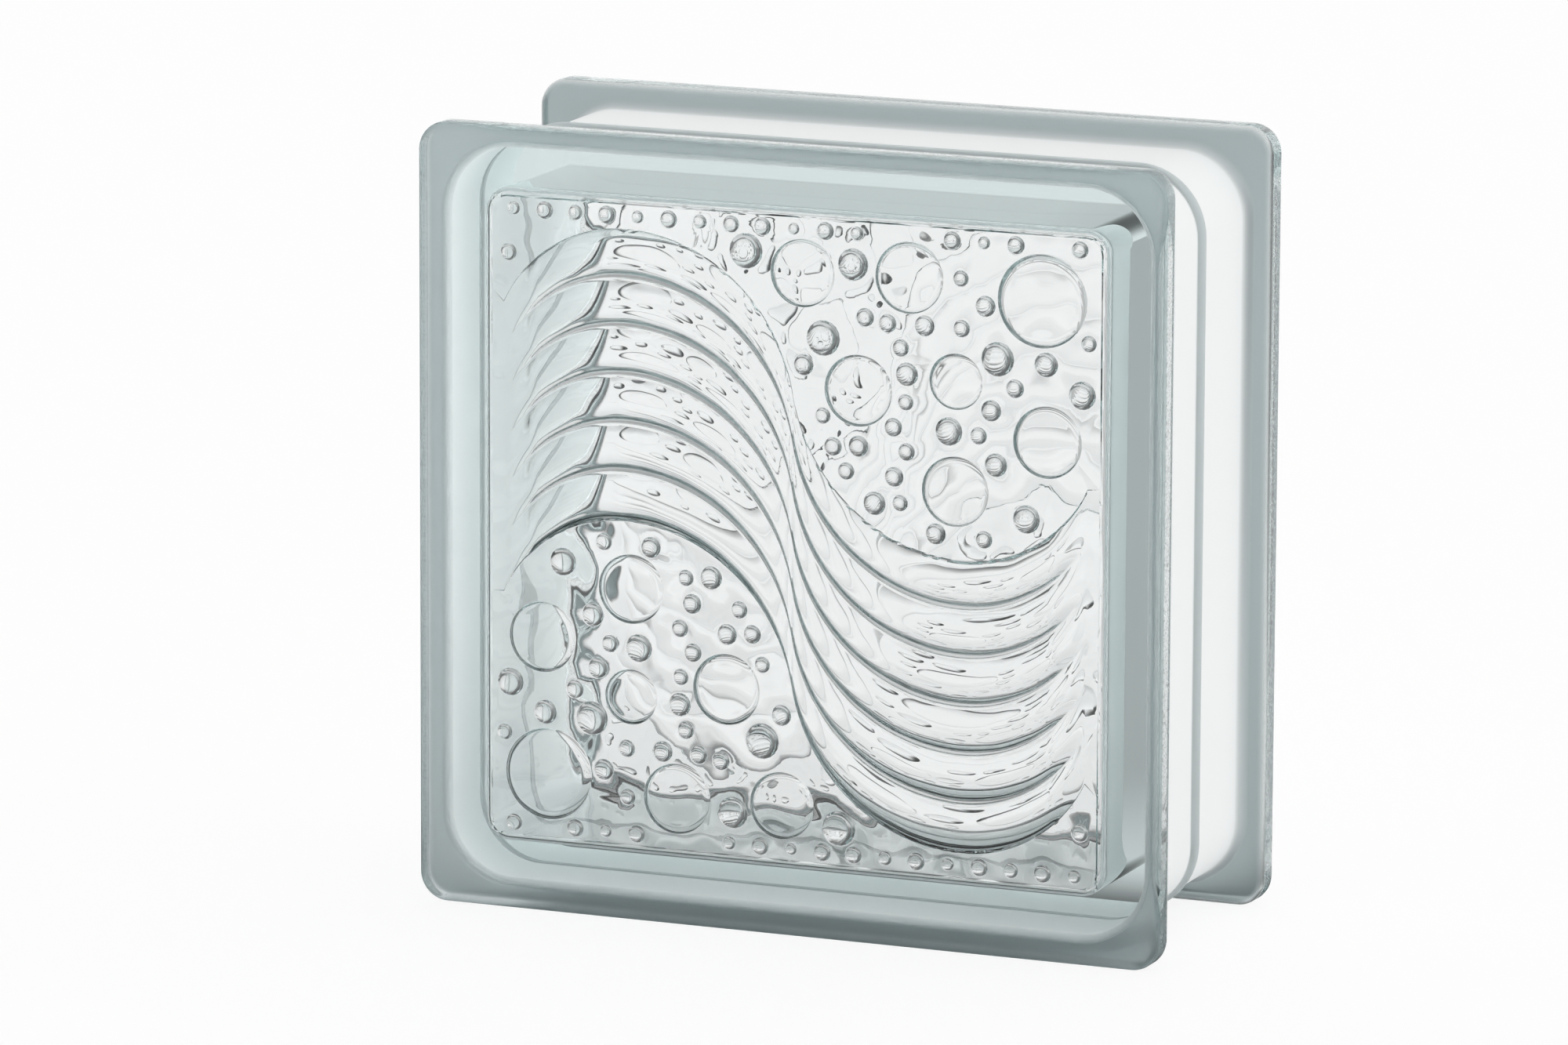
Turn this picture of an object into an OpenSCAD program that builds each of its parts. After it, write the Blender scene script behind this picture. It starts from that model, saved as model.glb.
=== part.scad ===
// Hollow glass block: two pressed halves fused into one piece at a seam half way through its depth.
// It is drawn lying on its back face, with depth along Z, and then stood up on its flanges.

/* [Block] */
// Width and height of the square faces
face_size = 190; // [150:1:300]
// Depth from face to face
block_depth = 80; // [65:1:100]

/* [Flanges] */
// Thickness of each flange, along the block's depth
flange_thickness = 8; // [6:0.5:11]
// Corner radius of the flanges, seen from the front
flange_corner = 7; // [5:0.5:12]
// Rounding of the flanges' long edges
flange_round = 2; // [1:0.25:3]

/* [Mortar channel] */
// Depth of the channel between the flanges
channel_depth = 6; // [4.5:0.5:8]
// Radius of the cove where the channel's floor runs up into a flange
cove_radius = 5; // [3:0.25:6]
// How far the cove's foot is sunk into the flange
cove_sink = 1; // [0.5:0.1:1.5]
// Corner radius of the channel's floor, seen from the front
channel_corner = 16; // [12:0.5:24]

/* [Seam bead] */
// Height of the bead along the seam of the two halves
bead_height = 1.2; // [0.6:0.1:2]
// Width of the bead at its foot
bead_width = 5; // [4:0.25:8]

/* [Cavity] */
// Glass between a face and the cavity
pane_thickness = 8; // [7:0.25:11]
// Glass between the channel's floor and the cavity
wall_thickness = 9.5; // [7:0.25:12]
// Corner radius of the cavity, seen from the front
cavity_corner = 6; // [4:0.5:12]
// Rounding between the cavity's walls and its panes
cavity_round = 2; // [1:0.25:3.5]

/* [Wave relief] */
// Number of steps in the wave
step_count = 6; // [4:1:8]
// Depth of a step, where the wave runs level
step_depth = 2.1; // [1:0.1:2.5]
// Depth of the steps' crests below the pane
crest_depth = 0.2; // [0.1:0.05:0.5]
// Flat glass between the wave and the rounding at the pane's edge
wave_margin = 6; // [4:0.25:9]

/* [Bubble relief] */
// Radius of a large bubble, which is sunk into the pane
bubble_radius = 8.6; // [6:0.1:10]
// Depth of a large bubble, and the radius of its round edge
bubble_depth = 1.8; // [0.8:0.1:2.5]
// Radius of a small bubble, which stands on the pane
dome_radius = 2.9; // [1.5:0.1:3.5]
// Height of a small bubble
dome_height = 1.55; // [0.8:0.05:2]
// Distance between the small bubbles in the row along the pane's edge
row_pitch = 8; // [6:0.1:12]
// Clear glass round every bubble
bubble_gap = 0.6; // [0.3:0.1:1]
// Clear glass between two small bubbles
dome_gap = 1; // [0.5:0.1:2]

/* [Hidden] */
$fn = 48;

// A cut or a hidden end runs this far past the surface it meets
overrun = 1;

face_half = face_size / 2;
depth_half = block_depth / 2;
channel_half = face_half - channel_depth;
pane_half = channel_half - wall_thickness;
pane_flat = pane_half - cavity_round;
pane_corner = cavity_corner - cavity_round;
cavity_half_depth = depth_half - pane_thickness;
// The bead's section is a circle through its two feet and its crest
bead_radius = (bead_width * bead_width / 4 + bead_height * bead_height) / (2 * bead_height);

// The wave bends twice, each time round a circle that is tighter on its outer side, and is upright
// but for this tilt at the middle
bend_share = 0.555;
outer_bend_share = 0.434;
wave_radius = bend_share * pane_half;
outer_radius = outer_bend_share * pane_half;
wave_tilt = 10;
bend_x = wave_radius * cos(wave_tilt);
bend_y = wave_radius * sin(wave_tilt);
wave_reach = pane_flat - wave_margin / 2;
wave_end = acos((bend_x - wave_reach) / outer_radius);
wave_lines = 18;
// The wave's steps lose their depth over this many lines at each end
fading_lines = 2;
band_half = pane_flat - wave_margin - (wave_radius - bend_y);
step_pitch = 2 * band_half / step_count;
// The hollow of a step, from the crest above it to the one below: shares of the pitch and of the depth
scoop_shares = [[0.72, 0.67], [0.42, 1], [0.12, 0.57]];

// Places and sizes of the large bubbles of one field, as shares of half the pane and of the radius
bubble_shares = [
    [0.03, 0.81, 0.95],
    [0.37, 0.82, 1.0],
    [0.79, 0.78, 1.3],
    [0.21, 0.47, 1.0],
    [0.52, 0.52, 0.78],
    [0.81, 0.36, 1.0],
    [0.52, 0.19, 0.98],
];

// Small bubbles lie in a row between the pane's edge and the wave, and then wherever one of many tries,
// at places that these steps spread evenly over the pane, finds room
row_radius = (wave_margin - 3 * bubble_gap) / 2;
row_reach = ceil(pane_flat / row_pitch);
dome_tries = 1500;
spread_shares = [0.7549, 0.5698];
// Sizes of small bubbles, as shares of their radius, in turn
dome_size_shares = [1, 0.75, 1.45, 0.85, 1.15, 0.7, 1.3, 0.8, 0.95, 1.4, 0.65];

// Height of the wave's middle line at x
function wave_y(x) =
    let (
        side = x < 0 ? 1 : -1,
        away = abs(x) - bend_x,
        radius = away > 0 ? outer_radius : wave_radius
    )
    side * (wave_radius - bend_y - radius + sqrt(max(radius * radius - away * away, 0)));

// One bend of the wave from its end to the middle: x, y, and the share of the steps' depth there,
// which is less where the wave runs steeply and at its end
function wave_bend() = [for (i = [0:wave_lines])
    let (
        angle = wave_end + (wave_tilt - wave_end) * i / wave_lines,
        x = (angle > 90 ? outer_radius : wave_radius) * cos(angle) - bend_x
    )
    [x, wave_y(x), sin(angle) * min(1, i / fading_lines)]];

// The wave's middle line, from left to right, with the second bend the first turned half round
function wave_line() =
    let (bend = wave_bend())
    concat(bend, [for (i = [wave_lines - 1:-1:0]) [-bend[i].x, -bend[i].y, bend[i].z]]);

function bubble_place(shares) = [shares.x * pane_half, shares.y * pane_half];
function bubble_reach(shares) = shares.z * bubble_radius;

// True if a bubble at the place lies above the wave and inside the pane's rounded outline
function in_field(place, radius) =
    let (
        room = radius + bubble_gap,
        edge_room = radius + bubble_gap / 2,
        corner = max(pane_corner, edge_room),
        past = [for (v = place) max(abs(v) - pane_flat + corner, 0)]
    )
    norm(past) + edge_room <= corner
    && min([for (x = [-room, 0, room]) place.y - wave_y(place.x + x)]) > band_half + room;

// True if a bubble at the place stays clear of the large ones
function is_clear(place, radius) =
    min([for (b = bubble_shares) norm(place - bubble_place(b)) - bubble_reach(b)])
    > radius + bubble_gap;

function dome_share(i) = dome_size_shares[i % len(dome_size_shares)];

// True if a small bubble, given as its x, y and radius, lies in the field and clear of the large ones
function has_room(dome) =
    let (place = [dome.x, dome.y])
    in_field(place, dome.z) && is_clear(place, dome.z);

// True if a small bubble stays clear of other small ones
function is_apart(dome, others) =
    len(others) == 0
    || min([for (o = others) norm([dome.x - o.x, dome.y - o.y]) - o.z]) > dome.z + dome_gap;

// Small bubbles in the row along the pane's edge
function row_domes() = [for (i = [-row_reach:row_reach])
    let (
        radius = row_radius * min(dome_share(i + row_reach), 1),
        dome = [i * row_pitch, pane_flat - row_radius - bubble_gap, radius]
    )
    if (has_room(dome)) dome];

// A small bubble at one of the spread places
function dome_try(i) = concat(
    [for (s = spread_shares) (2 * ((i * s) % 1) - 1) * pane_flat], [dome_radius * dome_share(i)]
);

// Small bubbles of one field: those found so far, and the later tries that fit between them
function domes(found, i = 1) =
    i > dome_tries ? found
    : let (dome = dome_try(i))
        domes(has_room(dome) && is_apart(dome, found) ? concat(found, [dome]) : found, i + 1);

// A solid with a rounded square outline. Its child is the section of its edge, drawn outward
// from the axis of a corner, with depth upward, and as tall as the solid at that axis.
module rounded_square(half, corner, height) {
    side = 2 * (half - corner);
    cube([side, side, height], center = true);
    for (turn = [0:90:270]) rotate(turn) {
        translate([half - corner, half - corner, 0])
            rotate_extrude(angle = 90) children();
        translate([half - corner, side / 2, 0])
            rotate([90, 0, 0]) linear_extrude(side) children();
    }
}

// A rectangle beside the axis of a corner, with its two outer corners rounded
module rounded_section(width, height, radius) {
    translate([0, -height / 2]) square([width - radius, height]);
    translate([0, radius - height / 2]) square([width, height - 2 * radius]);
    for (side = [-1, 1])
        translate([width - radius, side * (height / 2 - radius)]) circle(radius);
}

module flange() {
    rounded_square(face_half, flange_corner, flange_thickness)
        rounded_section(flange_corner, flange_thickness, flange_round);
}

module waist_section(height) {
    translate([0, -height / 2]) square([channel_corner, height]);
    translate([channel_corner + bead_height - bead_radius, 0]) circle(bead_radius);
    for (side = [0, 1]) mirror([0, side]) translate([channel_corner, height / 2 - cove_radius])
        difference() {
            square(cove_radius);
            translate([cove_radius, 0]) circle(cove_radius);
        }
}

// The body between the flanges, with its bead and its coves
module waist() {
    height = block_depth - 2 * (flange_thickness - cove_sink);
    rounded_square(channel_half, channel_corner, height) waist_section(height);
}

// The wave's steps, cut below the pane: one closed section, moved along the wave's middle line
module wave_steps() {
    line = wave_line();
    columns = len(line);
    // Each point of the section is its place across the wave, its level and its share of the depth
    steps = [for (i = [step_count - 1:-1:0]) each [
        [(i + 1) * step_pitch, -crest_depth, 0],
        for (s = scoop_shares) [(i + s.x) * step_pitch, -crest_depth, s.y],
    ]];
    section = concat(
        [[2 * band_half, overrun, 0]], steps, [[0, -crest_depth, 0], [0, overrun, 0]]
    );
    count = len(section);
    polyhedron(
        points = [for (p = line) for (s = section)
            [p.x, p.y - band_half + s.x, s.y - s.z * p.z * step_depth]],
        faces = concat(
            [for (c = [0:columns - 2]) for (r = [0:count - 1])
                let (a = c * count + r, b = c * count + (r + 1) % count)
                each [[a, b, b + count], [a, b + count, a + count]]],
            [[for (r = [count - 1:-1:0]) r]],
            [[for (r = [0:count - 1]) (columns - 1) * count + r]]
        )
    );
}

// A flat disc with a quarter-round edge, cut below the pane
module large_bubble(radius) {
    cylinder(overrun, radius, radius);
    mirror([0, 0, 1]) rotate_extrude() {
        square([radius - bubble_depth, bubble_depth]);
        intersection() {
            translate([radius - bubble_depth, 0]) circle(bubble_depth);
            square([radius, bubble_depth]);
        }
    }
}

// A cap of a sphere that stands on the pane
module small_bubble(radius) {
    height = dome_height * radius / dome_radius;
    sphere_radius = (radius * radius + height * height) / (2 * height);
    translate([0, 0, height - sphere_radius]) sphere(sphere_radius);
}

// Bubbles lie in two fields of a pane that are half a turn apart
module in_both_fields() {
    for (turn = [0, 180]) rotate(turn) children();
}

module large_bubbles() {
    in_both_fields() for (b = bubble_shares) translate(bubble_place(b)) large_bubble(bubble_reach(b));
}

module small_bubbles() {
    in_both_fields() for (d = domes(row_domes())) translate([d.x, d.y]) small_bubble(d.z);
}

// Puts relief, drawn upward from the pane, on the front pane and, turned round, on the back one
module on_both_panes() {
    for (turn = [0, 180]) rotate([0, turn, 0])
        translate([0, 0, cavity_half_depth]) mirror([0, 0, 1]) children();
}

// The sealed space inside, with the relief of its two panes
module cavity() {
    height = 2 * cavity_half_depth;
    difference() {
        union() {
            rounded_square(pane_half, cavity_corner, height)
                rounded_section(cavity_corner, height, cavity_round);
            on_both_panes() wave_steps();
            on_both_panes() large_bubbles();
        }
        on_both_panes() small_bubbles();
    }
}

module glass_block() {
    color([0.8, 0.88, 0.86, 0.5]) translate([0, 0, face_half]) rotate([90, 0, 0]) difference() {
        union() {
            for (side = [-1, 1])
                translate([0, 0, side * (depth_half - flange_thickness / 2)]) flange();
            waist();
        }
        cavity();
    }
}

glass_block();
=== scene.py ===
"""Looks of the glass block: one closed glass mesh with relief, a pale floor, soft light and the camera."""

import math

import bmesh
import bpy
import numpy as np
from mathutils import Matrix, Vector
from mathutils.geometry import delaunay_2d_cdt


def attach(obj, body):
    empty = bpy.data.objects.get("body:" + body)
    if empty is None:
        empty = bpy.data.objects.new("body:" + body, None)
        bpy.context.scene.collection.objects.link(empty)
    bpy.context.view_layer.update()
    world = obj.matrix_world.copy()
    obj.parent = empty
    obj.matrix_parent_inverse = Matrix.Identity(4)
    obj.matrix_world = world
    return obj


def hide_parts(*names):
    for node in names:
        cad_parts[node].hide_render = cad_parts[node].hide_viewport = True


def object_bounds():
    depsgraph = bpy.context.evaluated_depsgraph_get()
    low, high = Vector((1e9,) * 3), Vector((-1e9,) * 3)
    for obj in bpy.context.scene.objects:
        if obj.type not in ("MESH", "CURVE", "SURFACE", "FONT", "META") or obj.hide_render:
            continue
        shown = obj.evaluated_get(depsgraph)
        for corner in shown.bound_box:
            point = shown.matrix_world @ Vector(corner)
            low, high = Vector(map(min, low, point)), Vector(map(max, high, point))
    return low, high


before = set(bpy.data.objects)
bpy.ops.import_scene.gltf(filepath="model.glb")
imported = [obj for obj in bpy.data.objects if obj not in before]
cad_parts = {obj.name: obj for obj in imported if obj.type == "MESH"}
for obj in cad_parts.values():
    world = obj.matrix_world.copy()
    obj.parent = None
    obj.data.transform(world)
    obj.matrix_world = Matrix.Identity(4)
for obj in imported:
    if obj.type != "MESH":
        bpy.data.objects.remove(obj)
cad_low, cad_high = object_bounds()
centre = (cad_low + cad_high) / 2

# Sizes are in millimetres, in the block's own frame: x to the right, y to the back and z up from its middle
MM = 0.001
FACE_HALF = (cad_high.x - cad_low.x) / 2 / MM
DEPTH_HALF = (cad_high.y - cad_low.y) / 2 / MM

# Flanges, mortar channel and seam bead
FLANGE_THICKNESS = 8.0
FLANGE_CORNER = 7.0
FLANGE_ROUND = 2.0
CHANNEL_DEPTH = 6.0
CHANNEL_CORNER = 16.0
COVE_RADIUS = 5.0
COVE_SINK = 1.0
BEAD_HEIGHT = 1.2
BEAD_WIDTH = 5.0

# Cavity
PANE_THICKNESS = 8.0
WALL_THICKNESS = 9.5
CAVITY_CORNER = 6.0
CAVITY_ROUND = 2.0

# Wave relief
STEP_COUNT = 6
STEP_DEPTH = 2.6
CREST_DEPTH = 0.2
WAVE_MARGIN = 6.0
BEND_SHARE = 0.555
OUTER_BEND_SHARE = 0.434
WAVE_TILT = math.radians(10)
GROOVE_SHARE = 0.45
FALL_POWER = 2.5
RISE_POWER = 1.7
STEEP_POWER = 1.1
FADE_LENGTH = 8.0
BAND_EDGE = 0.25

# Bubble relief: large bubbles are given as shares of half the pane, and of the radius
BUBBLE_RADIUS = 8.6
RIM_WIDTH_SHARE = 0.21
RIM_SLOPE = 56.0
DISH_DEPTH = 0.5
DISH_SHARES = (0.9, 0.75, 0.5, 0.25)
BUBBLE_SHARES = (
    (0.03, 0.81, 0.95),
    (0.37, 0.82, 1.0),
    (0.79, 0.78, 1.3),
    (0.21, 0.47, 1.0),
    (0.52, 0.52, 0.78),
    (0.81, 0.36, 1.0),
    (0.52, 0.19, 0.98),
)
DOME_RADIUS = 2.9
DOME_HEIGHT = 1.85
FOOT_ROUND = 0.35
ROW_PITCH = 8.0
BUBBLE_GAP = 0.6
DOME_GAP = 1.0
DOME_TRIES = 1500
SPREAD_SHARES = (0.7549, 0.5698)
DOME_SIZE_SHARES = (1.0, 0.75, 1.45, 0.85, 1.15, 0.7, 1.3, 0.8, 0.95, 1.4, 0.65)

# Derived sizes
channel_half = FACE_HALF - CHANNEL_DEPTH
pane_half = channel_half - WALL_THICKNESS
pane_flat = pane_half - CAVITY_ROUND
pane_corner = CAVITY_CORNER - CAVITY_ROUND
cavity_half_depth = DEPTH_HALF - PANE_THICKNESS
wave_radius = BEND_SHARE * pane_half
outer_radius = OUTER_BEND_SHARE * pane_half
bend_x = wave_radius * math.cos(WAVE_TILT)
bend_y = wave_radius * math.sin(WAVE_TILT)
wave_reach = pane_flat - WAVE_MARGIN / 2
band_half = pane_flat - WAVE_MARGIN - (wave_radius - bend_y)
step_pitch = 2 * band_half / STEP_COUNT
row_radius = (WAVE_MARGIN - 3 * BUBBLE_GAP) / 2

# Looks: the glass, its frosted channel, its grainy shoulders, a grey line of painted shade round each pane's
# edge, and the ripple of its inner faces
CLEAR = (1, 1, 1, 1)
GLASS_IOR = 1.52
GLASS_GLOSS = 0.5
BODY_COLOUR = (0.18, 0.44, 0.44, 1)
BODY_DENSITY = 5.5
FROST_WHITE = (0.95, 0.96, 0.96, 1)
FROST_SHARE = 0.9
BEAD_FROST = 0.3
BEAD_GRAIN = 0.6
GRAIN_AND_SHADE_GREY = (0.3, 0.37, 0.38, 1)
INNER_GRAIN_AND_SHADE_GREY = (0.28, 0.34, 0.35, 1)
GRAIN_AND_SHADE_SHARE = 0.5
# Painted shade: the grainy grey laid as a thin line on the cavity's rounded edge round each pane
EDGE_PAINTED_SHADE = 0.9
EDGE_SHARES = (0.2, 0.8)
SPECK_GREY = (0.16, 0.2, 0.21, 1)
SPECK_SHARE = 0.4
SPECK_SIZE = 0.6
SPECK_DETAIL = 3
SPECK_RANGE = (0.48, 0.62)
FROST_ROUGHNESS = 0.7
GRAIN_ROUGHNESS = 0.35
RIPPLE_SIZE = 8.0
RIPPLE_HEIGHT = 0.9
WAVE_RIPPLE_SHARE = 0.25
MARK_ROOM = 0.01
MARKS = ("frost", "grain_and_painted_shade", "sand", "relief")
PAPER_WHITE = (0.97, 0.97, 0.97, 1)
PAPER_ROUGHNESS = 0.9

# Light: what clear glass sees of the floor and the room, and how strongly the block is lit from each side
FOOT_SHADE = 55.0
FOOT_LEVEL = 0.01
FAR_SHADE = 500.0
NEAR_LEVEL = 0.85
FRONT_LEVEL = 0.75
FRONT_START = -200.0
FRONT_END = 50.0
RIGHT_LEVEL = 0.55
RIGHT_AREA = 30000.0
SIDE_START_SHARE = 0.53
SIDE_END_SHARE = 0.76
SIDE_LEVEL = 0.02
SIDE_ROOM = 80.0
PALE_SHARE = 0.85
DARK_SIDE = (-0.6, -0.8, 0)
DARK_LEVEL = 0.22
DARK_RANGE = (-0.25, 0.1)
UPPER_LEVEL = 0.12
UPPER_RANGE = (0.05, 0.4)
LIGHT_SIDE_LEVEL = 1.25
SHADE_SIDE_LEVEL = 0.6
INNER_SHADE_LEVEL = 1.4
INNER_LIGHT_LEVEL = 5.5
INNER_RANGE = (-0.7, 0.7)
INNER_UPPER_LEVEL = 0.7
INNER_UPPER_RANGE = (0, 0.7)
INNER_FLOOR_LEVEL = 4.0
BOUNCES = 32

# How finely the mesh follows the shapes
CORNER_STEPS = 14
SIDE_STEPS = 8
ROUND_STEPS = 8
WAVE_COLUMNS = 48
STEP_ROWS = (0.0, 0.03, 0.06, 0.1, 0.14, 0.19, 0.24, 0.3, 0.37, 0.45, 0.55, 0.65, 0.75, 0.85, 0.95)
BUBBLE_SIDES = 48
DOME_SIDES = 18
FOOT_STEPS = 4
FOOT_GAP = 0.08
WELD_ROOM = 1e-6
PLAN_ROOM = 1e-7


def outline(half, corner):
    """Points of a rounded square, as x and z: at each corner an arc, then the side that follows it."""
    arc = np.radians(np.linspace(0, 90, CORNER_STEPS + 1))
    inner = half - corner
    side = np.linspace(inner, -inner, SIDE_STEPS + 1)[1:-1]
    quarter = np.concatenate(
        [
            np.stack([inner + corner * np.cos(arc), inner + corner * np.sin(arc)], 1),
            np.stack([side, np.full_like(side, half)], 1),
        ]
    )
    turn = np.array([[0, 1], [-1, 0]])
    quarters = [quarter]
    for _ in range(3):
        quarters.append(quarters[-1] @ turn)
    return np.concatenate(quarters)


def arc_steps(start, end):
    """Angles in radians along a rounding, from start to end degrees."""
    return np.radians(np.linspace(start, end, ROUND_STEPS + 1))


def front_half_section():
    """The outer edge from the front face to the seam: depth, half width and corner radius of each ring."""
    rings = [(-DEPTH_HALF, FACE_HALF - FLANGE_ROUND - FOOT_GAP, FLANGE_CORNER - FLANGE_ROUND - FOOT_GAP)]
    for a in arc_steps(0, 90):
        inset = FLANGE_ROUND * (1 - math.sin(a))
        y = FLANGE_ROUND * (1 - math.cos(a)) - DEPTH_HALF
        rings.append((y, FACE_HALF - inset, FLANGE_CORNER - inset))
    shoulder = FLANGE_THICKNESS - DEPTH_HALF
    for a in arc_steps(90, 0):
        inset = FLANGE_ROUND * (1 - math.sin(a))
        rings.append((shoulder - FLANGE_ROUND * (1 - math.cos(a)), FACE_HALF - inset, FLANGE_CORNER - inset))
    cove_end = shoulder - COVE_SINK + COVE_RADIUS
    start = math.degrees(math.acos((COVE_RADIUS - COVE_SINK) / COVE_RADIUS))
    for a in arc_steps(start, 90):
        out = COVE_RADIUS * (1 - math.sin(a))
        rings.append((cove_end - COVE_RADIUS * math.cos(a), channel_half + out, CHANNEL_CORNER + out))
    bead_radius = (BEAD_WIDTH**2 / 4 + BEAD_HEIGHT**2) / (2 * BEAD_HEIGHT)
    bead_angle = math.degrees(math.asin(BEAD_WIDTH / 2 / bead_radius))
    for y in np.linspace(cove_end, -BEAD_WIDTH / 2 - FOOT_GAP, ROUND_STEPS)[1:]:
        rings.append((y, channel_half, CHANNEL_CORNER))
    for a in arc_steps(-bead_angle, 0):
        out = BEAD_HEIGHT - bead_radius * (1 - math.cos(a))
        rings.append((bead_radius * math.sin(a), channel_half + out, CHANNEL_CORNER + out))
    return rings


def cavity_half_section():
    """The cavity's edge from front pane to seam: depth, half width and corner radius of each ring."""
    rings = []
    for a in arc_steps(0, 90):
        inset = CAVITY_ROUND * (1 - math.sin(a))
        y = CAVITY_ROUND * (1 - math.cos(a)) - cavity_half_depth
        rings.append((y, pane_half - inset, CAVITY_CORNER - inset))
    for y in np.linspace(CAVITY_ROUND - cavity_half_depth, 0, ROUND_STEPS + 1)[1:]:
        rings.append((y, pane_half, CAVITY_CORNER))
    return rings


def mirrored(rings):
    """The rings of the front half, then those of the back half in turn."""
    return rings + [(-y, half, corner) for y, half, corner in reversed(rings[:-1])]


def wave_sine(x):
    """Sine of the angle at which x lies on its bend of the wave: 1 on the bend's top, less to both sides."""
    away = np.abs(x) - bend_x
    share = away / np.where(away > 0, outer_radius, wave_radius)
    return np.sqrt(np.maximum(1 - share**2, 0))


def wave_middle(x):
    """Height of the wave's middle line at x."""
    radius = np.where(np.abs(x) > bend_x, outer_radius, wave_radius)
    return np.where(x < 0, 1, -1) * (wave_radius - bend_y - radius * (1 - wave_sine(x)))


def step_level(x):
    """Share of the steps' full depth at x: less where the wave runs steeply, and none at its ends."""
    return wave_sine(x) ** STEEP_POWER * np.clip((wave_reach - np.abs(x)) / FADE_LENGTH, 0, 1)


def scoop(t):
    """Depth share of a step at t across it: a steep fall from the crest below, then a slow hollow rise."""
    if t < GROOVE_SHARE:
        return 1 - (1 - t / GROOVE_SHARE) ** FALL_POWER
    return 1 - ((t - GROOVE_SHARE) / (1 - GROOVE_SHARE)) ** RISE_POWER


def large_bubbles():
    """Middle and radius of the large bubbles of one field."""
    return [(bx * pane_half, by * pane_half, size * BUBBLE_RADIUS) for bx, by, size in BUBBLE_SHARES]


def has_room(x, y, radius):
    """True if a small bubble lies above the wave, inside the pane and clear of the large bubbles."""
    room = radius + BUBBLE_GAP
    edge_room = radius + BUBBLE_GAP / 2
    corner = max(pane_corner, edge_room)
    past = [max(abs(v) - pane_flat + corner, 0) for v in (x, y)]
    if math.hypot(*past) + edge_room > corner:
        return False
    if min(y - wave_middle(x + d) for d in (-room, 0, room)) <= band_half + room:
        return False
    return min(math.hypot(x - bx, y - by) - br for bx, by, br in large_bubbles()) > room


def dome_share(i):
    """Size of the small bubble of this number, as a share of the full one."""
    return DOME_SIZE_SHARES[i % len(DOME_SIZE_SHARES)]


def row_domes():
    """Middle and radius of the small bubbles in the row along the pane's edge."""
    reach = math.ceil(pane_flat / ROW_PITCH)
    found = []
    for i in range(-reach, reach + 1):
        x, y = i * ROW_PITCH, pane_flat - row_radius - BUBBLE_GAP
        radius = row_radius * min(dome_share(i + reach), 1)
        if has_room(x, y, radius):
            found.append((x, y, radius))
    return found


def domes():
    """Middle and radius of the small bubbles of one field: a row, then spread tries that fit in between."""
    found = row_domes()
    for i in range(1, DOME_TRIES + 1):
        x, y = ((2 * (i * share % 1) - 1) * pane_flat for share in SPREAD_SHARES)
        radius = DOME_RADIUS * dome_share(i)
        apart = min(math.hypot(x - fx, y - fy) - fr for fx, fy, fr in found)
        if apart > radius + DOME_GAP and has_room(x, y, radius):
            found.append((x, y, radius))
    return found


def disc_profile(radius):
    """Rings of a large bubble from its rim to its middle: radius and height, sunk and a little dished."""
    floor = radius * (1 - RIM_WIDTH_SHARE)
    rim_radius = (radius - floor) / math.sin(math.radians(RIM_SLOPE))
    depth = rim_radius * (1 - math.cos(math.radians(RIM_SLOPE)))
    rings = [(radius + FOOT_GAP, 0)]
    for a in arc_steps(RIM_SLOPE, 0):
        rings.append((floor + rim_radius * math.sin(a), rim_radius * (1 - math.cos(a)) - depth))
    for share in DISH_SHARES:
        rings.append((share * floor, -depth - DISH_DEPTH * (1 - share**2)))
    return rings, -depth - DISH_DEPTH


def dome_profile(radius):
    """Rings of a small bubble, radius and height: a round foot, then a cap of a sphere up to its middle."""
    height = DOME_HEIGHT * radius / DOME_RADIUS
    sphere = (radius**2 + height**2) / (2 * height)
    slope = math.asin(min(radius / sphere, 1))
    foot = FOOT_ROUND * math.tan(slope / 2)
    rings = []
    for a in np.linspace(0, slope, FOOT_STEPS):
        rings.append((radius + foot - FOOT_ROUND * math.sin(a), FOOT_ROUND * (1 - math.cos(a))))
    cap = math.asin(rings[-1][0] / sphere)
    for a in np.linspace(cap, 0, ROUND_STEPS)[1:-1]:
        rings.append((sphere * math.sin(a), height - sphere * (1 - math.cos(a))))
    return rings, height


class Plan:
    """Points of the pane seen from the front, with their heights and the lines that the mesh must follow."""

    def __init__(self):
        self.points = []
        self.heights = []
        self.lines = []

    def add(self, xs, ys, heights, closed=False, line=True):
        first = len(self.points)
        count = len(xs)
        self.points.extend(zip(xs, ys))
        self.heights.extend(heights)
        if line:
            last = count if closed else count - 1
            self.lines.extend((first + i, first + (i + 1) % count) for i in range(last))

    def add_round(self, x, y, profile, sides):
        rings, top = profile
        angles = np.linspace(0, 2 * math.pi, sides, endpoint=False)
        for radius, height in rings:
            xs, ys = x + radius * np.cos(angles), y + radius * np.sin(angles)
            self.add(xs, ys, [height] * sides, closed=True)
        self.add([x], [y], [top], line=False)


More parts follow.
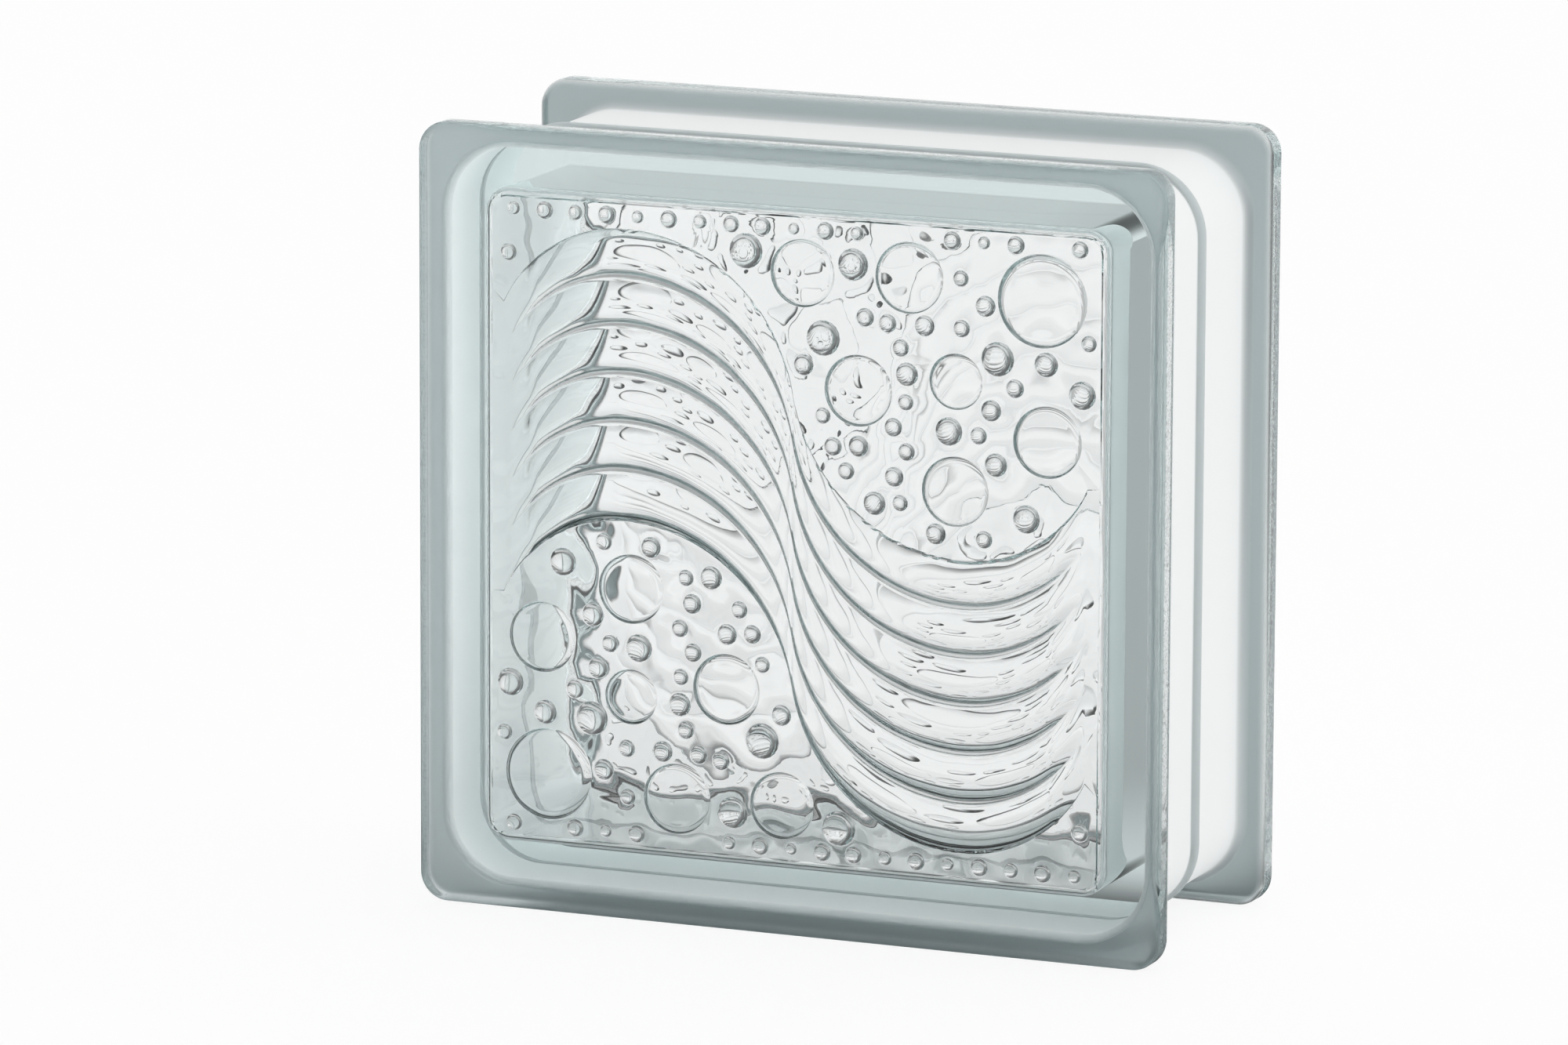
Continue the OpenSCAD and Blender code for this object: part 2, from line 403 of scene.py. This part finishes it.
def pane_plan():
    """The plan of one pane: its edge, the wave's steps and both fields of bubbles, half a turn apart."""
    plan = Plan()
    edge = outline(pane_flat, pane_corner)
    plan.add(edge[:, 0], edge[:, 1], [0] * len(edge), closed=True)
    end = math.acos((bend_x - wave_reach) / outer_radius)
    outer = outer_radius * np.cos(np.linspace(end, math.pi / 2, WAVE_COLUMNS // 2)[:-1])
    inner = wave_radius * np.cos(np.linspace(math.pi / 2, WAVE_TILT, WAVE_COLUMNS))
    half_line = np.concatenate([outer, inner]) - bend_x
    xs = np.concatenate([half_line, -half_line[-2::-1]])
    middle = wave_middle(xs)
    level = step_level(xs)
    edge_level = np.clip((wave_reach - np.abs(xs)) / FADE_LENGTH, 0, 1)
    for row in [i + t for i in range(STEP_COUNT) for t in STEP_ROWS] + [STEP_COUNT]:
        heights = -CREST_DEPTH * edge_level - STEP_DEPTH * level * scoop(row - math.floor(row))
        plan.add(xs, middle - band_half + row * step_pitch, heights)
    for side in (-1, 1):
        for beyond in (BAND_EDGE, BAND_EDGE + FOOT_GAP):
            plan.add(xs, middle + side * (band_half + beyond), [0] * len(xs))
    for side in (-1, 1):
        for x, y, radius in large_bubbles():
            plan.add_round(side * x, side * y, disc_profile(radius), BUBBLE_SIDES)
        for x, y, radius in domes():
            plan.add_round(side * x, side * y, dome_profile(radius), DOME_SIDES)
    return plan


class Shell:
    """Vertices and faces of the glass, in millimetres from the block's middle."""

    def __init__(self):
        self.vertices = []
        self.faces = []

    def add_vertices(self, points):
        first = len(self.vertices)
        self.vertices.extend(map(tuple, points))
        return first

    def loft(self, rings, inward):
        """Skins the rings, front to back, and returns the first vertex and the length of a ring."""
        first = None
        for y, half, corner in rings:
            flat = outline(half, corner)
            at = self.add_vertices(np.stack([flat[:, 0], np.full(len(flat), y), flat[:, 1]], 1))
            first = at if first is None else first
        count = len(flat)
        for ring in range(len(rings) - 1):
            for i in range(count):
                a, b = first + ring * count + i, first + ring * count + (i + 1) % count
                quad = (a, a + count, b + count, b)
                self.faces.append(quad[::-1] if inward else quad)
        return first, count

    def pane(self, points, heights, triangles):
        """Adds a pane's relief to the front of the cavity and, turned half round, to its back."""
        depth = np.asarray(heights) - cavity_half_depth
        flat = np.asarray(points)
        for turn in (1, -1):
            at = self.add_vertices(np.stack([turn * flat[:, 0], turn * depth, flat[:, 1]], 1))
            self.faces.extend(tuple(at + i for i in reversed(t)) for t in triangles)

    def mesh(self, name):
        mesh = bpy.data.meshes.new(name)
        points = np.asarray(self.vertices) * MM + np.array(centre)
        mesh.from_pydata(points.tolist(), [], self.faces)
        mesh.update()
        return mesh


def glass_mesh():
    """The closed glass body: its outside, and its cavity with a relief on both panes."""
    shell = Shell()
    first, count = shell.loft(mirrored(front_half_section()), inward=False)
    last = len(shell.vertices) - count
    shell.faces.append(tuple(range(first, first + count)))
    shell.faces.append(tuple(reversed(range(last, last + count))))
    shell.loft(mirrored(cavity_half_section()), inward=True)
    plan = pane_plan()
    flat, _, triangles, origins, _, _ = delaunay_2d_cdt(
        [Vector(p) for p in plan.points], plan.lines, [], 1, PLAN_ROOM
    )
    heights = [plan.heights[o[0]] for o in origins]
    shell.pane([tuple(p) for p in flat], heights, triangles)
    return shell.mesh("glass_block_glass")


def weld(mesh):
    """Joins the panes' edges to the cavity's walls, and shades the whole body smooth."""
    body = bmesh.new()
    body.from_mesh(mesh)
    bmesh.ops.remove_doubles(body, verts=body.verts, dist=WELD_ROOM)
    for face in body.faces:
        face.smooth = True
    body.to_mesh(mesh)
    body.free()


def add_node(tree, kind, inputs=None, **settings):
    """Adds a shader node. Its inputs are constants, or the sockets that feed them."""
    node = tree.nodes.new("ShaderNode" + kind)
    for name, value in settings.items():
        setattr(node, name, value)
    for name, value in (inputs or {}).items():
        if isinstance(value, bpy.types.NodeSocket):
            tree.links.new(value, node.inputs[name])
        else:
            node.inputs[name].default_value = value
    return node


def calculate(tree, operation, *values):
    """A number worked out from others."""
    return add_node(tree, "Math", dict(enumerate(values)), operation=operation).outputs[0]


def calculate_vector(tree, operation, *values):
    """A vector worked out from others."""
    return add_node(tree, "VectorMath", dict(enumerate(values)), operation=operation).outputs[0]


def ramp(tree, value, start, end, low, high):
    """A number that runs smoothly from low to high while the value goes from start to end."""
    inputs = {"Value": value, "From Min": start, "From Max": end, "To Min": low, "To Max": high}
    return add_node(tree, "MapRange", inputs, interpolation_type="SMOOTHSTEP").outputs[0]


def blend_colour(tree, share, first, second):
    """A colour between two others."""
    node = add_node(tree, "Mix", data_type="RGBA")
    for socket, value in ((node.inputs[0], share), (node.inputs[6], first), (node.inputs[7], second)):
        if isinstance(value, bpy.types.NodeSocket):
            tree.links.new(value, socket)
        else:
            socket.default_value = value
    return node.outputs[2]


def noise(tree, size, detail):
    """Even noise with grains of about this size in millimetres, in the block's own frame."""
    place = add_node(tree, "TexCoord").outputs["Object"]
    inputs = {"Vector": place, "Scale": 1 / (size * MM), "Detail": detail}
    return add_node(tree, "TexNoise", inputs).outputs[0]


def mark(tree, name):
    """A mark that the mesh carries at its vertices."""
    return add_node(tree, "Attribute", attribute_name=name).outputs["Fac"]


def glass_material():
    """Clear glass, faintly grey-green, white and matt in the channel, grey and grainy on the shoulders, and
    painted grey along the panes' edges as shade.
    """
    material = bpy.data.materials.new("clear_glass")
    material.use_nodes = True
    tree = material.node_tree
    shader = tree.nodes["Principled BSDF"]
    frost, grain_and_painted_shade, sand, relief = (mark(tree, name) for name in MARKS)
    outside = calculate(tree, "SUBTRACT", 1, add_node(tree, "NewGeometry").outputs["Backfacing"])
    specks = ramp(tree, noise(tree, SPECK_SIZE, SPECK_DETAIL), *SPECK_RANGE, 0, SPECK_SHARE)
    specks = calculate(tree, "MULTIPLY", specks, sand)
    colour = blend_colour(tree, frost, CLEAR, FROST_WHITE)
    # The grainy grey also paints a thin line of shade on the panes' rounded edges
    colour = blend_colour(tree, grain_and_painted_shade, colour, blend_colour(tree, outside, INNER_GRAIN_AND_SHADE_GREY, GRAIN_AND_SHADE_GREY))
    colour = blend_colour(tree, specks, colour, SPECK_GREY)
    opaque = calculate(tree, "ADD", calculate(tree, "MULTIPLY", frost, FROST_SHARE),
                       calculate(tree, "MULTIPLY", grain_and_painted_shade, GRAIN_AND_SHADE_SHARE))
    opaque = calculate(tree, "MAXIMUM", opaque, specks)
    coated = calculate(tree, "ADD", frost, grain_and_painted_shade)
    matt = calculate(tree, "ADD", calculate(tree, "MULTIPLY", frost, FROST_ROUGHNESS),
                     calculate(tree, "MULTIPLY", grain_and_painted_shade, GRAIN_ROUGHNESS))
    gloss = calculate(tree, "MULTIPLY", calculate(tree, "SUBTRACT", 1, coated), GLASS_GLOSS)
    ripple = calculate(tree, "MULTIPLY", noise(tree, RIPPLE_SIZE, 0), relief)
    bump = add_node(tree, "Bump", {"Height": ripple, "Distance": RIPPLE_HEIGHT * MM, "Strength": 1})
    shader.inputs["IOR"].default_value = GLASS_IOR
    tree.links.new(colour, shader.inputs["Base Color"])
    tree.links.new(matt, shader.inputs["Roughness"])
    tree.links.new(gloss, shader.inputs["Specular IOR Level"])
    tree.links.new(calculate(tree, "SUBTRACT", 1, opaque), shader.inputs["Transmission Weight"])
    tree.links.new(bump.outputs[0], shader.inputs["Normal"])
    body = add_node(tree, "VolumeAbsorption", {"Color": BODY_COLOUR, "Density": BODY_DENSITY})
    tree.links.new(body.outputs[0], tree.nodes["Material Output"].inputs["Volume"])
    return material


def marks_at(place):
    """Marks of a place on the glass: frost, grain_and_painted_shade, sand and relief, each from 0 to 1. The
    second greys the grainy shoulders and bead, and paints a shade line on the panes' rounded edges.
    """
    shoulder = DEPTH_HALF - FLANGE_THICKNESS
    reach = max(abs(place.x), abs(place.z))
    depth = abs(place.y)
    if reach < pane_half + MARK_ROOM:
        on_pane = reach < pane_flat + MARK_ROOM
        rise = (cavity_half_depth - depth) / CAVITY_ROUND
        on_edge = not on_pane and EDGE_SHARES[0] < rise < EDGE_SHARES[1]
        from_wave = abs(place.z - wave_middle(place.x * (1 if place.y < 0 else -1))) - band_half
        relief = (1.0 if from_wave > 0 else WAVE_RIPPLE_SHARE) if on_pane else 0.0
        # On the panes' rounded edges the grey line is painted shade
        return 0.0, EDGE_PAINTED_SHADE * on_edge, 0.0, relief
    if depth > DEPTH_HALF - FLANGE_ROUND + MARK_ROOM:
        return 0.0, 0.0, 0.0, 0.0
    if depth > shoulder:
        sand = min((depth - shoulder) / FLANGE_ROUND, 1)
        return 0.0, 1 - sand, sand, 0.0
    if depth < BEAD_WIDTH / 2 - MARK_ROOM:
        return BEAD_FROST, BEAD_GRAIN, 0.0, 0.0
    cove_depth = COVE_RADIUS - COVE_SINK
    rise = max(depth - shoulder + cove_depth, 0) / cove_depth
    return 1 - rise, rise, 0.0, 0.0


def add_marks(mesh):
    """Lets the mesh carry the marks that its material reads."""
    values = [marks_at((vertex.co - centre) / MM) for vertex in mesh.vertices]
    for name, column in zip(MARKS, zip(*values)):
        mesh.attributes.new(name, "FLOAT", "POINT").data.foreach_set("value", column)


def add_block():
    """The glass body as one piece that stands for the block's solid."""
    mesh = glass_mesh()
    weld(mesh)
    add_marks(mesh)
    mesh.materials.append(glass_material())
    block = bpy.data.objects.new("glass_block_glass", mesh)
    bpy.context.scene.collection.objects.link(block)
    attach(block, "root")
    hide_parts("glass_block")


def clear_sight(tree):
    """1 for light that reaches the eye through clear glass or from a mirror, past no matt surface."""
    path = add_node(tree, "LightPath").outputs
    mirrored_or_through = calculate(tree, "MAXIMUM", path["Is Glossy Ray"], path["Is Transmission Ray"])
    no_matt = calculate(tree, "LESS_THAN", path["Diffuse Depth"], 0.5)
    no_matt = calculate(tree, "MULTIPLY", no_matt, path["Is Singular Ray"])
    return calculate(tree, "MULTIPLY", mirrored_or_through, no_matt)


def inner_light(tree):
    """1 for light that goes through the glass and falls on its matt parts from inside."""
    path = add_node(tree, "LightPath").outputs
    after_matt = calculate(tree, "GREATER_THAN", path["Diffuse Depth"], 0.5)
    return calculate(tree, "MULTIPLY", path["Is Transmission Ray"], after_matt)


def side_share(tree, way):
    """How far a way points to the block's sides: 0 to its front or back, 1 to its left or right."""
    level_way = calculate_vector(tree, "NORMALIZE", calculate_vector(tree, "MULTIPLY", way, (1, 1, 0)))
    return calculate(tree, "ABSOLUTE", add_node(tree, "SeparateXYZ", {0: level_way}).outputs["X"])


def floor_material():
    """Pale, nearly white paper with the block's shadow. Glass sees it dark round the block's foot."""
    material = bpy.data.materials.new("floor_paper")
    material.use_nodes = True
    tree = material.node_tree
    paper = tree.nodes["Principled BSDF"]
    paper.inputs["Base Color"].default_value = PAPER_WHITE
    paper.inputs["Roughness"].default_value = PAPER_ROUGHNESS
    paper.inputs["Specular IOR Level"].default_value = 0.0
    spot = add_node(tree, "NewGeometry").outputs["Position"]
    beyond = calculate_vector(tree, "ABSOLUTE", spot)
    beyond = calculate_vector(tree, "SUBTRACT", beyond, (FACE_HALF * MM, DEPTH_HALF * MM, 0))
    beyond = calculate_vector(tree, "MAXIMUM", beyond, (0, 0, 0))
    away = add_node(tree, "VectorMath", {0: beyond}, operation="LENGTH").outputs["Value"]
    shade = ramp(tree, away, 0, FOOT_SHADE * MM, FOOT_LEVEL, 1)
    shade = calculate(tree, "MULTIPLY", shade, ramp(tree, away, 0, FAR_SHADE * MM, NEAR_LEVEL, 1))
    rightward, backward, _ = add_node(tree, "SeparateXYZ", {0: spot}).outputs
    ahead = ramp(tree, backward, FRONT_START * MM, FRONT_END * MM, FRONT_LEVEL, 1)
    outward = calculate_vector(tree, "ADD", calculate_vector(tree, "ABSOLUTE", spot), (0, SIDE_ROOM * MM, 0))
    sides = ramp(tree, side_share(tree, outward), SIDE_START_SHARE, SIDE_END_SHARE, 1, SIDE_LEVEL)
    clear = calculate(tree, "MULTIPLY", calculate(tree, "MULTIPLY", shade, ahead), sides)
    across = calculate(tree, "MULTIPLY", rightward, backward)
    clear = calculate(tree, "MULTIPLY", clear, ramp(tree, across, 0, RIGHT_AREA * MM**2, 1, RIGHT_LEVEL))
    seen = add_node(tree, "Emission", {"Strength": clear})
    inner = add_node(tree, "Emission", {"Strength": calculate(tree, "MULTIPLY", shade, INNER_FLOOR_LEVEL)})
    white = add_node(tree, "Emission", {"Strength": 1})
    camera_ray = add_node(tree, "LightPath").outputs["Is Camera Ray"]
    paled = calculate(tree, "MULTIPLY", camera_ray, PALE_SHARE)
    pale = add_node(tree, "MixShader", {0: paled, 1: paper.outputs[0], 2: white.outputs[0]})
    mix = add_node(tree, "MixShader", {0: clear_sight(tree), 1: pale.outputs[0], 2: seen.outputs[0]})
    mix = add_node(tree, "MixShader", {0: inner_light(tree), 1: mix.outputs[0], 2: inner.outputs[0]})
    tree.links.new(mix.outputs[0], tree.nodes["Material Output"].inputs["Surface"])
    return material


def add_floor():
    """A wide level floor under the block."""
    side = 12.0
    mesh = bpy.data.meshes.new("floor")
    corners = [(-side, -side, 0), (side, -side, 0), (side, side, 0), (-side, side, 0)]
    mesh.from_pydata(corners, [], [(0, 1, 2, 3)])
    mesh.materials.append(floor_material())
    floor = bpy.data.objects.new("floor", mesh)
    bpy.context.scene.collection.objects.link(floor)


def set_world():
    """Soft light, stronger from behind on the right. Glass sees it dark at the sides, above and in front."""
    world = bpy.data.worlds.new("studio")
    bpy.context.scene.world = world
    world.use_nodes = True
    tree = world.node_tree
    way = add_node(tree, "TexCoord").outputs["Generated"]
    to_dark = add_node(tree, "VectorMath", {0: way, 1: DARK_SIDE}, operation="DOT_PRODUCT").outputs["Value"]
    right, _, up = add_node(tree, "SeparateXYZ", {0: way}).outputs
    level = ramp(tree, to_dark, *DARK_RANGE, 1, DARK_LEVEL)
    level = calculate(tree, "MINIMUM", level, ramp(tree, up, *UPPER_RANGE, 1, UPPER_LEVEL))
    sides = ramp(tree, side_share(tree, way), SIDE_START_SHARE, SIDE_END_SHARE, 1, SIDE_LEVEL)
    level = calculate(tree, "MINIMUM", level, sides)
    camera_ray = add_node(tree, "LightPath").outputs["Is Camera Ray"]
    light = ramp(tree, to_dark, -1, 1, LIGHT_SIDE_LEVEL, SHADE_SIDE_LEVEL)
    inputs = {"Factor": camera_ray, "A": light, "B": 1}
    light = add_node(tree, "Mix", inputs, data_type="FLOAT").outputs["Result"]
    inner = ramp(tree, right, *INNER_RANGE, INNER_SHADE_LEVEL, INNER_LIGHT_LEVEL)
    upper = ramp(tree, up, *INNER_UPPER_RANGE, 1, INNER_UPPER_LEVEL)
    inner = calculate(tree, "MULTIPLY", inner, upper)
    light = calculate(tree, "MULTIPLY", light, ramp(tree, inner_light(tree), 0, 1, 1, inner))
    plain = add_node(tree, "Background", {"Strength": light})
    seen = add_node(tree, "Background", {"Strength": level})
    plain.inputs["Color"].default_value = CLEAR
    seen.inputs["Color"].default_value = CLEAR
    mix = add_node(tree, "MixShader", {0: clear_sight(tree), 1: plain.outputs[0], 2: seen.outputs[0]})
    tree.links.new(mix.outputs[0], tree.nodes["World Output"].inputs["Surface"])


def add_camera():
    """A long lens to the right of the block and above it, so that the block sits as in the photograph."""
    azimuth, elevation, roll = math.radians(22.51), math.radians(11.38), math.radians(0.24)
    distance, right_offset, up_offset = 2520.2 * MM, 15.38 * MM, 2.01 * MM
    photo_width, focal_pixels = 2000, 13433.8
    camera = bpy.data.cameras.new("camera")
    camera.sensor_width = 36.0
    camera.lens = focal_pixels / photo_width * camera.sensor_width
    holder = bpy.data.objects.new("camera", camera)
    bpy.context.scene.collection.objects.link(holder)
    back = Vector(
        (
            math.sin(azimuth) * math.cos(elevation),
            -math.cos(azimuth) * math.cos(elevation),
            math.sin(elevation),
        )
    )
    turn = (-back).to_track_quat("-Z", "Y").to_matrix() @ Matrix.Rotation(roll, 3, "Z")
    right, up = turn.col[0], turn.col[1]
    place = centre + back * distance - right * right_offset - up * up_offset
    holder.matrix_world = Matrix.Translation(place) @ turn.to_4x4()
    bpy.context.scene.camera = holder


add_camera()
add_block()
add_floor()
set_world()
scene = bpy.context.scene
scene.view_settings.view_transform = "Standard"
scene.cycles.max_bounces = BOUNCES
scene.cycles.transmission_bounces = BOUNCES
scene.cycles.glossy_bounces = BOUNCES
